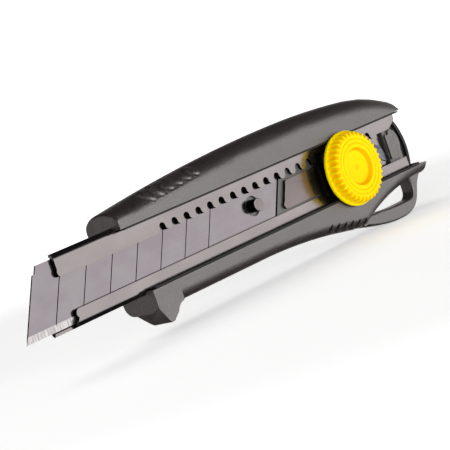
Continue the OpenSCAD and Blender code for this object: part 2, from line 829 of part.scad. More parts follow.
// Plate that closes the rear end of the rail and stops the slider
module end_stopper() {
    color([0.28, 0.28, 0.29]) union() {
        plate_y(tongue_back, tongue_near - 0.2) polygon([
            [stopper_x, -fold_z + 1.2], [rail_rear - 0.6, -fold_z + 1.2],
            [rail_rear + 0.4, window_low], [rail_rear + 0.4, 2.5],
            [rail_rear - 2.2, window_top + 1], [rail_rear - 2.4, fold_z - 1.2],
            [stopper_x, fold_z - 1.2]]);
        plate_y(tongue_near, stopper_plate_t) difference() {
            polygon([
                [stopper_x + 0.4, window_low + 0.9], [rail_rear - 1, window_low + 0.5],
                [rail_rear + 0.1, window_mid], [rail_rear, window_top - 2.4],
                [rail_rear - 1, window_top - 0.5], [rail_rear - 2.7, window_top + 0.7],
                [stopper_x + 0.4, window_top - 0.9]]);
            translate([stopper_x + 1.6, window_top - 0.2]) circle(r = 0.7);
        }
    }
}

// Spring leaf in front of the end stopper
module stopper_leaf() {
    x0 = slider_rear + 15.3;
    x1 = stopper_x - 0.1;
    color([0.5, 0.52, 0.56]) plate_y(rail_floor - 0.02, rail_floor - 0.42) union() {
        polygon([[x0, 2.3], [x0, -2.4], [x1 - 0.8, -4.6], [x1, -3.6], [x1 - 1.9, 1]]);
    }
}

handle_body();
back_shell();
top_grip();
lower_grip();
blade_rail();
rail_screws();
shell_screws();
snap_off_blade();
blade_slider();
slider_plate();
plate_rivets();
blade_pin();
clamp_screw();
lift_spring();
lock_shoe();
thrust_washer();
dial_nut();
lock_dial();
end_stopper();
stopper_leaf();
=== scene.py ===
"""Snap-off utility knife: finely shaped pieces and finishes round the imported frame."""

import logging
import math
from collections.abc import Callable
from dataclasses import dataclass
from enum import Enum

import bpy
from mathutils import Matrix, Vector


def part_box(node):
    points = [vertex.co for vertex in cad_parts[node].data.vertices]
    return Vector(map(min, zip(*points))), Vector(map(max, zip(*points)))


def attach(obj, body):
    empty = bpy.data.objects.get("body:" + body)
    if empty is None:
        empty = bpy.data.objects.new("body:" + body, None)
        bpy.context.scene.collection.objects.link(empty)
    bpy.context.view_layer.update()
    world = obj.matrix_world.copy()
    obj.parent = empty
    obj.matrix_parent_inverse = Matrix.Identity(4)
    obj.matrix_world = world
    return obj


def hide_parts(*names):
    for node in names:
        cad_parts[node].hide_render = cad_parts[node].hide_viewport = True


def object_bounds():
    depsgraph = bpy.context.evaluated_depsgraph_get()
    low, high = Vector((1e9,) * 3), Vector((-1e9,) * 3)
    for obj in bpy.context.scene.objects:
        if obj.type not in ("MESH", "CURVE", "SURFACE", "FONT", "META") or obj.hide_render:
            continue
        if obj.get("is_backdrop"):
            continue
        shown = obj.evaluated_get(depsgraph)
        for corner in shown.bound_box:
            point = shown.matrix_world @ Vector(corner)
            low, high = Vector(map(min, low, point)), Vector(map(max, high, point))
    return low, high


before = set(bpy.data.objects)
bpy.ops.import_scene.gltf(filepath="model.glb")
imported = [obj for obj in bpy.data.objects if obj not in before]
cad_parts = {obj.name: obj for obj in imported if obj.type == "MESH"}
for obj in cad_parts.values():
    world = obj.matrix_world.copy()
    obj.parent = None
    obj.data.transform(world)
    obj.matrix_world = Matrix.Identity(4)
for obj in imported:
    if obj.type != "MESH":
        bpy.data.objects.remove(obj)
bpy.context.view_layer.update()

MM = 0.001
LOG = logging.getLogger("knife")


class Body(Enum):
    """Bodies of the frame that a piece can ride on."""

    HANDLE = "handle"
    SLIDER = "slider"
    CLAMP = "clamp"
    DIAL = "dial"
    STOPPER = "stopper"


# ---- Colours and nodes ----


def linear(colour: str) -> tuple[float, float, float, float]:
    """Turns an sRGB hex colour to linear.

    Args:
        colour: Six hex digits after a hash.

    Returns:
        Red, green, blue and an alpha of one.
    """
    parts = [int(colour[i:i + 2], 16) / 255 for i in (1, 3, 5)]
    turned = [c / 12.92 if c <= 0.04045 else ((c + 0.055) / 1.055) ** 2.4 for c in parts]
    return (*turned, 1.0)


def add(tree: bpy.types.NodeTree, kind: str, links: dict | None = None, output: int | str = 0,
        **settings: object) -> bpy.types.NodeSocket:
    """Adds a node with its settings and links.

    Args:
        tree: The tree that gets the node.
        kind: The node's type name after its first two words, which are the same for all.
        links: What goes into each input: another node's output or a plain value.
        output: The output that is wanted.
        settings: Values of the node's own properties.

    Returns:
        The wanted output.
    """
    node = tree.nodes.new("ShaderNode" + kind)
    for name, value in settings.items():
        setattr(node, name, value)
    for socket, source in (links or {}).items():
        if isinstance(source, bpy.types.NodeSocket):
            tree.links.new(source, node.inputs[socket])
        else:
            node.inputs[socket].default_value = source
    return node.outputs[output]


def per_metre(*sizes_mm: float) -> tuple[float, ...]:
    """Turns the sizes of a pattern's grains to its scale.

    Args:
        sizes_mm: Size of one grain along each axis.

    Returns:
        How many grains go into a metre along each axis.
    """
    return tuple(1 / (size * MM) for size in sizes_mm)


def start_material(name: str, **settings: object
                   ) -> tuple[bpy.types.Material, bpy.types.NodeTree, bpy.types.Node]:
    """Makes a material with one principled shader.

    Args:
        name: The material's name.
        settings: Values of the shader's inputs, with underscores for spaces.

    Returns:
        The material, its tree and its shader node.
    """
    material = bpy.data.materials.new(name)
    material.use_nodes = True
    tree = material.node_tree
    shader = tree.nodes["Principled BSDF"]
    for key, value in settings.items():
        shader.inputs[key.replace("_", " ")].default_value = value
    return material, tree, shader


def connect(tree: bpy.types.NodeTree, shader: bpy.types.Node, **sockets: bpy.types.NodeSocket) -> None:
    """Links sockets to a shader.

    Args:
        tree: The tree that both are in.
        shader: The shader.
        sockets: The socket for each input, with underscores for spaces.
    """
    for key, socket in sockets.items():
        tree.links.new(socket, shader.inputs[key.replace("_", " ")])


# ---- Finishes ----

# Nearly all values of a noise texture lie between these.
LOW, HIGH = 0.3, 0.7


@dataclass(frozen=True)
class GrainedPlastic:
    """Plastic from a spark-eroded mould: a fine matt grain that breaks up the light."""

    name: str
    base: str
    fleck: str
    grain_mm: float = 0.45
    cell_share: float = 1.4
    relief_mm: float = 0.045
    roughness: float = 0.5
    smear_mm: float = 9.0
    gloss: float = 1.0
    sheen: float = 0.8
    sheen_roughness: float = 0.42

    def build(self) -> bpy.types.Material:
        """Returns the material."""
        material, tree, shader = start_material(
            self.name, Specular_IOR_Level=self.gloss, IOR=1.54, Coat_Weight=self.sheen,
            Coat_Roughness=self.sheen_roughness, Coat_IOR=1.6)
        here = add(tree, "TexCoord", output="Object")
        (grain,) = per_metre(self.grain_mm)
        fine = add(tree, "TexNoise", {0: here, "Scale": grain, "Detail": 3.0, "Roughness": 0.65})
        cells = add(tree, "TexVoronoi", {0: here, "Scale": grain / self.cell_share})
        smear = add(tree, "TexNoise", {0: here, "Scale": per_metre(self.smear_mm)[0], "Detail": 2.0})
        speckle = add(tree, "MapRange", {0: fine, 1: 0.38, 2: 0.66})
        colour = add(tree, "Mix", {0: speckle, 6: linear(self.base), 7: linear(self.fleck)}, 2,
                     data_type="RGBA")
        worn = add(tree, "MapRange", {0: smear, 1: LOW, 2: HIGH, 3: self.roughness - 0.04,
                                      4: self.roughness + 0.05})
        rough = add(tree, "Math", {
            0: add(tree, "MapRange", {0: fine, 1: LOW, 2: HIGH, 3: -0.05, 4: 0.05}), 1: worn})
        height = add(tree, "Math", {
            0: fine, 1: add(tree, "Math", {0: cells, 1: 0.35}, operation="MULTIPLY")})
        bump = add(tree, "Bump", {"Height": height, "Strength": 0.7, "Distance": self.relief_mm * MM})
        connect(tree, shader, Base_Color=colour, Roughness=rough, Normal=bump)
        return material


@dataclass(frozen=True)
class GlossPlastic:
    """Polypropylene with a polished mould: saturated all through, with a painted shade of deeper orange
    where light is trapped.
    """

    name: str
    base: str
    painted_shade: str
    roughness: float = 0.3
    ripple_mm: float = 3.0
    pore_mm: float = 0.35
    relief_mm: float = 0.02

    def build(self) -> bpy.types.Material:
        """Returns the material, which reads the depth attribute of the piece as painted shade."""
        material, tree, shader = start_material(self.name, IOR=1.45, Specular_IOR_Level=0.05)
        here = add(tree, "TexCoord", output="Object")
        # Painted shade: the depth attribute marks sheltered hollows, which get the deeper orange
        # colour.
        depth = add(tree, "Attribute", output="Fac", attribute_name="depth")
        mottle = add(tree, "TexNoise", {0: here, "Scale": per_metre(self.ripple_mm)[0], "Detail": 4.0})
        fine = add(tree, "TexNoise", {0: here, "Scale": per_metre(self.pore_mm)[0], "Detail": 2.0})
        uneven = add(tree, "MapRange", {0: mottle, 1: LOW, 2: HIGH, 3: -0.05, 4: 0.07})
        share = add(tree, "Math", {0: depth, 1: uneven}, use_clamp=True)
        colour = add(tree, "Mix", {0: share, 6: linear(self.base), 7: linear(self.painted_shade)}, 2,
                     data_type="RGBA")
        rough = add(tree, "MapRange", {0: fine, 1: LOW, 2: HIGH, 3: self.roughness - 0.05,
                                       4: self.roughness + 0.07})
        height = add(tree, "Math", {
            0: mottle, 1: add(tree, "Math", {0: fine, 1: 0.3}, operation="MULTIPLY")})
        bump = add(tree, "Bump", {"Height": height, "Strength": 0.25, "Distance": self.relief_mm * MM})
        connect(tree, shader, Base_Color=colour, Roughness=rough, Normal=bump)
        return material


@dataclass(frozen=True)
class RolledSteel:
    """Rolled sheet steel: fine lines along the sheet, and cut edges between two depths painted near
    black as shade.
    """

    name: str
    base: str
    worn: str
    edge: str
    edge_depth_mm: tuple[float, float]
    edge_height_mm: float
    roughness: float = 0.17
    line_mm: float = 0.18
    line_share: float = 60
    stain_mm: tuple[float, float, float] = (14.0, 14.0, 6.0)
    tone: float = 0.08
    relief_mm: float = 0.004

    def build(self) -> bpy.types.Material:
        """Returns the material."""
        material, tree, shader = start_material(self.name, Metallic=1.0)
        here = add(tree, "TexCoord", output="Object")
        along = per_metre(self.line_mm * self.line_share, self.line_mm, self.line_mm)
        lines = add(tree, "TexNoise", {
            0: add(tree, "Mapping", {0: here, "Scale": along}), "Scale": 1.0, "Detail": 5.0,
            "Roughness": 0.6})
        stain = add(tree, "TexNoise", {
            0: add(tree, "Mapping", {0: here, "Scale": per_metre(*self.stain_mm)}), "Scale": 1.0,
            "Detail": 3.0})
        share = add(tree, "Math", {
            0: add(tree, "MapRange", {0: lines, 1: LOW, 2: HIGH, 4: self.tone * 2}),
            1: add(tree, "MapRange", {0: stain, 1: 0.35, 2: 0.65, 4: 0.7})})
        colour = add(tree, "Mix", {0: share, 6: linear(self.base), 7: linear(self.worn)}, 2,
                     data_type="RGBA")
        parts = add(tree, "SeparateXYZ", {0: here}, "Y").node.outputs
        # Painted shade: the cut edges, between two depths and below a height, are coloured near black.
        near, far = self.edge_depth_mm
        low = add(tree, "Math", {0: parts["Z"]}, operation="ABSOLUTE")
        edge_shade = add(tree, "Math", {
            0: add(tree, "Math", {0: parts["Y"], 1: near * MM}, operation="GREATER_THAN"),
            1: add(tree, "Math", {0: parts["Y"], 1: far * MM}, operation="LESS_THAN")},
            operation="MULTIPLY")
        edge_shade = add(tree, "Math", {
            0: edge_shade, 1: add(tree, "Math", {0: low, 1: self.edge_height_mm * MM},
                           operation="LESS_THAN")}, operation="MULTIPLY")
        colour = add(tree, "Mix", {0: edge_shade, 6: colour, 7: linear(self.edge)}, 2, data_type="RGBA")
        rough = add(tree, "MapRange", {0: lines, 1: LOW, 2: HIGH, 3: self.roughness - 0.06,
                                       4: self.roughness + 0.08})
        bump = add(tree, "Bump", {"Height": lines, "Strength": 0.2, "Distance": self.relief_mm * MM})
        connect(tree, shader, Base_Color=colour, Roughness=rough, Normal=bump)
        return material


@dataclass(frozen=True)
class GroundBlade:
    """Hardened blade strip: a lapped face, scored across, and a bevel ground across its length."""

    name: str
    face: str
    haze: str
    ground: str
    score: str
    edge_mm: float
    bevel_mm: float
    depth_mm: tuple[float, float]
    line_mm: tuple[float, float, float] = (16.0, 0.3, 0.3)
    haze_mm: tuple[float, float, float] = (11.0, 11.0, 7.0)
    stroke_mm: tuple[float, float, float] = (0.14, 3.0, 6.0)
    roughness: float = 0.16
    relief_mm: float = 0.005

    def build(self) -> bpy.types.Material:
        """Returns the material."""
        material, tree, shader = start_material(self.name, Metallic=1.0)
        here = add(tree, "TexCoord", output="Object")
        lines, haze, strokes = (
            add(tree, "TexNoise", {0: add(tree, "Mapping", {0: here, "Scale": per_metre(*size)}),
                                   "Scale": 1.0, "Detail": detail})
            for size, detail in ((self.line_mm, 4.0), (self.haze_mm, 4.0), (self.stroke_mm, 3.0)))
        share = add(tree, "Math", {
            0: add(tree, "MapRange", {0: haze, 1: 0.35, 2: 0.65, 4: 0.8}),
            1: add(tree, "MapRange", {0: lines, 1: LOW, 2: HIGH, 4: 0.2})})
        colour = add(tree, "Mix", {0: share, 6: linear(self.face), 7: linear(self.haze)}, 2,
                     data_type="RGBA")
        parts = add(tree, "SeparateXYZ", {0: here}, "Y").node.outputs
        top = (self.edge_mm + self.bevel_mm) * MM
        bevel = add(tree, "Math", {0: parts["Z"], 1: top}, operation="LESS_THAN")
        above = add(tree, "Math", {0: 1.0, 1: bevel}, operation="SUBTRACT")
        stroke = add(tree, "MapRange", {0: strokes, 1: LOW, 2: HIGH})
        ground = add(tree, "Mix", {0: stroke, 6: linear(self.ground), 7: linear(self.haze)}, 2,
                     data_type="RGBA")
        most = add(tree, "Math", {0: bevel, 1: 0.85}, operation="MULTIPLY")
        colour = add(tree, "Mix", {0: most, 6: colour, 7: ground}, 2, data_type="RGBA")
        # The walls of the score lines and the blade's cut sides, above the bevel, are coloured near
        # black.
        near, far = self.depth_mm
        inside = add(tree, "Math", {
            0: add(tree, "Math", {0: parts["Y"], 1: near * MM}, operation="GREATER_THAN"),
            1: add(tree, "Math", {0: parts["Y"], 1: far * MM}, operation="LESS_THAN")},
            operation="MULTIPLY")
        dark = add(tree, "Math", {0: inside, 1: above}, operation="MULTIPLY")
        colour = add(tree, "Mix", {0: dark, 6: colour, 7: linear(self.score)}, 2, data_type="RGBA")
        rough = add(tree, "Math", {
            0: add(tree, "MapRange", {0: lines, 1: LOW, 2: HIGH, 3: self.roughness - 0.04,
                                      4: self.roughness + 0.05}),
            1: add(tree, "Math", {0: bevel, 1: 0.1}, operation="MULTIPLY")})
        height = add(tree, "Math", {
            0: add(tree, "Math", {0: lines, 1: above}, operation="MULTIPLY"),
            1: add(tree, "Math", {0: strokes, 1: bevel}, operation="MULTIPLY")})
        bump = add(tree, "Bump", {"Height": height, "Strength": 0.2, "Distance": self.relief_mm * MM})
        connect(tree, shader, Base_Color=colour, Roughness=rough, Normal=bump)
        return material


@dataclass(frozen=True)
class TurnedMetal:
    """Plated or turned small metal parts: fine random scratches and a slight bloom."""

    name: str
    base: str
    bloom: str
    roughness: float = 0.28
    bloom_mm: float = 1.8
    scratch_mm: float = 0.3
    scratch_share: float = 4
    relief_mm: float = 0.01

    def build(self) -> bpy.types.Material:
        """Returns the material."""
        material, tree, shader = start_material(self.name, Metallic=1.0)
        here = add(tree, "TexCoord", output="Object")
        bloom = add(tree, "TexNoise", {0: here, "Scale": per_metre(self.bloom_mm)[0], "Detail": 5.0})
        turned = per_metre(self.scratch_mm, self.scratch_mm * self.scratch_share, self.scratch_mm)
        fine = add(tree, "TexNoise", {
            0: add(tree, "Mapping", {0: here, "Scale": turned}), "Scale": 1.0, "Detail": 3.0})
        share = add(tree, "MapRange", {0: bloom, 1: 0.35, 2: 0.7})
        colour = add(tree, "Mix", {0: share, 6: linear(self.base), 7: linear(self.bloom)}, 2,
                     data_type="RGBA")
        rough = add(tree, "MapRange", {0: fine, 1: LOW, 2: HIGH, 3: self.roughness - 0.06,
                                       4: self.roughness + 0.1})
        bump = add(tree, "Bump", {"Height": fine, "Strength": 0.3, "Distance": self.relief_mm * MM})
        connect(tree, shader, Base_Color=colour, Roughness=rough, Normal=bump)
        return material


# ---- Mesh tools ----


def only(piece: bpy.types.Object) -> None:
    """Makes a piece the one selected and active object.

    Args:
        piece: The object to work on.
    """
    bpy.ops.object.select_all(action="DESELECT")
    piece.select_set(True)
    bpy.context.view_layer.objects.active = piece


def modify(piece: bpy.types.Object, kind: str, **settings: object) -> None:
    """Adds a modifier to a piece and applies it.

    Args:
        piece: The object to change.
        kind: The modifier's type name.
        settings: Values of the modifier's properties.
    """
    only(piece)
    modifier = piece.modifiers.new(kind, kind)
    for name, value in settings.items():
        setattr(modifier, name, value)
    bpy.ops.object.modifier_apply(modifier=modifier.name)


def select_where(piece: bpy.types.Object, part: str, test: Callable[..., bool]) -> int:
    """Selects the vertices, edges or faces of a piece that pass a test, and nothing else.

    Args:
        piece: The object, in edit mode afterwards.
        part: VERT, EDGE or FACE.
        test: Called with a vertex's place, an edge's two places, or a face's centre and normal,
            in millimetres.

    Returns:
        How many were selected.
    """
    only(piece)
    bpy.ops.object.mode_set(mode="EDIT")
    bpy.ops.mesh.select_mode(type=part)
    bpy.ops.mesh.select_all(action="DESELECT")
    bpy.ops.object.mode_set(mode="OBJECT")
    mesh = piece.data
    places = [v.co / MM for v in mesh.vertices]
    chosen = 0
    items = {"VERT": mesh.vertices, "EDGE": mesh.edges, "FACE": mesh.polygons}[part]
    for item in items:
        if part == "VERT":
            taken = test(places[item.index])
        elif part == "EDGE":
            taken = test(places[item.vertices[0]], places[item.vertices[1]])
        else:
            taken = test(item.center / MM, item.normal)
        item.select = bool(taken)
        chosen += bool(taken)
    bpy.ops.object.mode_set(mode="EDIT")
    return chosen


def leave_edit() -> None:
    """Goes back to object mode."""
    bpy.ops.object.mode_set(mode="OBJECT")


def merged_copy(node: str, name: str) -> bpy.types.Object:
    """Copies a node of the frame with its loose triangles merged and its flats made whole.

    Args:
        node: The node to copy.
        name: Name of the copy.

    Returns:
        The new object, at the origin.
    """
    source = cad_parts[node]
    piece = bpy.data.objects.new(name, source.data.copy())
    bpy.context.scene.collection.objects.link(piece)
    only(piece)
    bpy.ops.mesh.customdata_custom_splitnormals_clear()
    bpy.ops.object.mode_set(mode="EDIT")
    bpy.ops.mesh.select_all(action="SELECT")
    bpy.ops.mesh.remove_doubles(threshold=0.002 * MM)
    bpy.ops.mesh.dissolve_limited(angle_limit=math.radians(0.3))
    leave_edit()
    return piece


def smooth(piece: bpy.types.Object, angle: float = 32.0) -> None:
    """Shades a piece smooth up to an angle, with broad faces leading the normals.

    Args:
        piece: The object to shade.
        angle: Edges sharper than this, in degrees, stay crisp.
    """
    only(piece)
    bpy.ops.object.shade_smooth_by_angle(angle=math.radians(angle))
    modify(piece, "WEIGHTED_NORMAL", keep_sharp=True, weight=60)


def soften(piece: bpy.types.Object, width: float, segments: int = 2, angle: float = 40.0) -> None:
    """Rounds the sharp edges of a piece and shades it.

    Args:
        piece: The object to change.
        width: Width of the rounding, in millimetres.
        segments: Steps across the rounding.
        angle: Only edges sharper than this, in degrees, are rounded.
    """
    modify(piece, "BEVEL", width=width * MM, segments=segments, limit_method="ANGLE",
           angle_limit=math.radians(angle), use_clamp_overlap=True, miter_outer="MITER_ARC",
           harden_normals=False)
    smooth(piece)


def carve(piece: bpy.types.Object, cutters: list[bpy.types.Object]) -> None:
    """Cuts the shapes of other objects out of a piece and removes them.

    Args:
        piece: The object to cut.
        cutters: Closed objects.
    """
    for cutter in cutters:
        modify(piece, "BOOLEAN", operation="DIFFERENCE", object=cutter, solver="EXACT")
        bpy.data.objects.remove(cutter)


def raise_shapes(piece: bpy.types.Object, shapes: list[bpy.types.Object]) -> None:
    """Joins closed shapes to a piece as part of its surface and removes them.

    Args:
        piece: The object that gets the shapes.
        shapes: Closed objects.
    """
    for shape in shapes:
        modify(piece, "BOOLEAN", operation="UNION", object=shape, solver="EXACT")
        bpy.data.objects.remove(shape)


def on_surface(piece: bpy.types.Object, start: tuple[float, float, float],
               direction: tuple[float, float, float]) -> tuple[Vector, Vector]:
    """Finds where a straight line meets a piece.

    Args:
        piece: The object.
        start: A point outside it, in millimetres.
        direction: Where the line goes.

    Returns:
        The point in millimetres and the surface's normal there.
    """
    hit, place, normal, _ = piece.ray_cast(Vector(start) * MM, Vector(direction).normalized())
    if not hit:
        raise ValueError(f"{piece.name} isn't on the line from {start}")
    return place / MM, normal


def ellipsoid(centre: tuple[float, float, float], radii: tuple[float, float, float],
              turn: Matrix | None = None) -> bpy.types.Object:
    """Makes a smooth egg shape to cut with.

    Args:
        centre: Its centre, in millimetres.
        radii: Its three half axes, in millimetres.
        turn: How it is turned, if it is.

    Returns:
        The new object.
    """
    bpy.ops.object.select_all(action="DESELECT")
    bpy.ops.mesh.primitive_uv_sphere_add(segments=32, ring_count=20, radius=1.0)
    piece = bpy.context.object
    place = Matrix.Translation(Vector(centre) * MM)
    size = Matrix.Diagonal((*(r * MM for r in radii), 1.0))
    piece.data.transform(place @ (turn or Matrix.Identity(4)) @ size)
    return piece


def dress(piece: bpy.types.Object, material: bpy.types.Material) -> None:
    """Gives a piece one material.

    Args:
        piece: The object to dress.
        material: What it is made of.
    """
    piece.data.materials.clear()
    piece.data.materials.append(material)


def settle(piece: bpy.types.Object, body: Body, slot: str, material: bpy.types.Material,
           *nodes: str) -> None:
    """Dresses a finished piece and ties it to the frame.

    Args:
        piece: The finished object.
        body: The body it rides on.
        slot: Name of a material slot; not used.
        material: What it is made of.
        nodes: The frame's nodes that it stands for.
    """
    dress(piece, material)
    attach(piece, body.value)
    if nodes:
        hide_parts(*nodes)
    LOG.info("%s: %d faces on %s", piece.name, len(piece.data.polygons), body.value)


def keep(node: str, material: bpy.types.Material) -> None:
    """Dresses a node of the frame whose shape is shown as it is.

    Args:
        node: The node's name.
        material: What it is made of.
    """
    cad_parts[node].material_slots[0].material = material
    LOG.info("%s: kept", node)


# ---- The knife ----


@dataclass
class Handle:
    """Shell, core, grip skins, finger guard and lanyard loop. Sizes are in millimetres."""

    near_face: float = -13.5
    edge_round: float = 0.25
    rib_count: int = 6
    rib_first: float = -51.0
    rib_pitch: float = 3.78
    rib_height: float = 16.6
    rib_climb: float = 0.106
    rib_radii: tuple[float, float, float] = (1.7, 3.1, 1.35)
    rib_sunk: float = 0.45
    rib_slant: float = 30.0
    groove_count: int = 6
    groove_first: float = 13.3
    groove_pitch: float = 3.2
    groove_height: float = -16.6
    groove_fall: float = 0.17
    groove_radii: tuple[float, float, float] = (0.62, 1.7, 3.1)
    groove_lean: float = 44.0
    strap_inset: float = 1.8
    strap_width: float = 4.8
    strap_round: float = 0.7
    strap_start: float = 31.1
    strap_front: float = 28.0
    strap_top: float = -11.0
    arm_round: float = 0.9
    arm_low: float = -9.6
    arm_reach: float = 0.4
    arm_depth: float = 2.0

    def build(self) -> None:
        """Makes all pieces of the handle."""
        shell = GrainedPlastic("moulded_abs_shell", "#110f0f", "#383232", roughness=0.42,
                               relief_mm=0.1).build()
        # Painted shade in part: the core's plastic is darker than the shell's, so the recess inside the
        # rear rim reads dark; it is also less glossy.
        core = GrainedPlastic("moulded_abs_core", "#0f0e0e", "#1d1b1b", roughness=0.6, gloss=0.4,
                              sheen=0.0).build()
        skin = GrainedPlastic("moulded_grip_skin", "#100d0d", "#453d3c", roughness=0.4,
                              relief_mm=0.13).build()
        self.top(skin)
        self.bottom(skin)
        self.shell(shell)
        self.core(core, skin)

    def top(self, material: bpy.types.Material) -> None:
        """Makes the upper skin with its raised thumb ribs.

        Args:
            material: The skin's finish.
        """
        piece = merged_copy("top_grip", "upper_skin")
        ribs = []
        for i in range(self.rib_count):
            step = i * self.rib_pitch
            start = (self.rib_first + step, self.near_face - 8, self.rib_height
                     + self.rib_climb * step + 6)
            place, normal = on_surface(piece, start, (0, 1, -0.8))
            lie = Vector((0, 0, 1)).rotation_difference(normal).to_matrix().to_4x4()
            slant = Matrix.Rotation(math.radians(self.rib_slant), 4, "Z")
            ribs.append(ellipsoid(tuple(place - normal * self.rib_sunk), self.rib_radii, lie @ slant))
        raise_shapes(piece, ribs)
        soften(piece, self.edge_round)
        settle(piece, Body.HANDLE, "grip_rubber", material, "top_grip")

    def bottom(self, material: bpy.types.Material) -> None:
        """Makes the lower skin with its finger guard and the grooves on its heel.

        Args:
            material: The skin's finish.
        """
        piece = merged_copy("lower_grip", "lower_skin")
        cuts = []
        lean = Matrix.Rotation(math.radians(self.groove_lean), 4, "Y")
        for i in range(self.groove_count):
            step = i * self.groove_pitch
            centre = (self.groove_first + step, self.near_face + 0.5,
                      self.groove_height - self.groove_fall * step)
            cuts.append(ellipsoid(centre, self.groove_radii, lean))
        carve(piece, cuts)
        _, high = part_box("lower_grip")
        end = high.x / MM

        def on_arm_end(a: Vector, b: Vector) -> bool:
            """Whether an edge runs across the thickness at the arm's rear end."""
            across = abs(a.y - b.y) > self.arm_depth
            return across and min(a.x, b.x) > end - self.arm_reach and min(a.z, b.z) > self.arm_low

        chosen = select_where(piece, "EDGE", on_arm_end)
        bpy.ops.mesh.bevel(offset=self.arm_round * MM, segments=4, affect="EDGES")
        leave_edit()
        LOG.info("arm end: %d edges rounded", chosen)
        soften(piece, self.edge_round)
        settle(piece, Body.HANDLE, "grip_rubber", material, "lower_grip")

    def shell(self, material: bpy.types.Material) -> None:
        """Makes the far-side shell.

        Args:
            material: The shell's finish.
        """
        piece = merged_copy("back_shell", "far_shell")
        soften(piece, self.edge_round)
        settle(piece, Body.HANDLE, "shell_plastic", material, "back_shell")

    def core(self, material: bpy.types.Material, strap: bpy.types.Material) -> None:
        """Makes the core with a round-edged strap over the lanyard opening.

        Args:
            material: The core's finish.
            strap: The finish of the strap, which is handled like the skins.
        """
        piece = merged_copy("handle_body", "core_with_loop")
        near = self.near_face + self.strap_inset
        faces = (near, near + self.strap_width)

        def on_strap(a: Vector, b: Vector) -> bool:
            """Whether an edge lies in one of the strap's two broad faces."""
            flat = any(abs(a.y - y) < 0.03 and abs(b.y - y) < 0.03 for y in faces)
            return flat and min(a.x, b.x) > self.strap_start and max(a.z, b.z) < self.strap_top

        chosen = select_where(piece, "EDGE", on_strap)
        leave_edit()
        weights = piece.data.attributes.new("bevel_weight_edge", "FLOAT", "EDGE")
        weights.data.foreach_set("value", [float(e.select) for e in piece.data.edges])
        modify(piece, "BEVEL", width=self.strap_round * MM, segments=4, limit_method="WEIGHT",
               use_clamp_overlap=False, loop_slide=True)
        LOG.info("strap: %d edges rounded", chosen)
        smooth(piece, 40)
        settle(piece, Body.HANDLE, "core_plastic", material, "handle_body")
        piece.data.materials.append(strap)
        for polygon in piece.data.polygons:
            place = polygon.center / MM
            polygon.material_index = int(place.x > self.strap_front and place.z < self.strap_top)


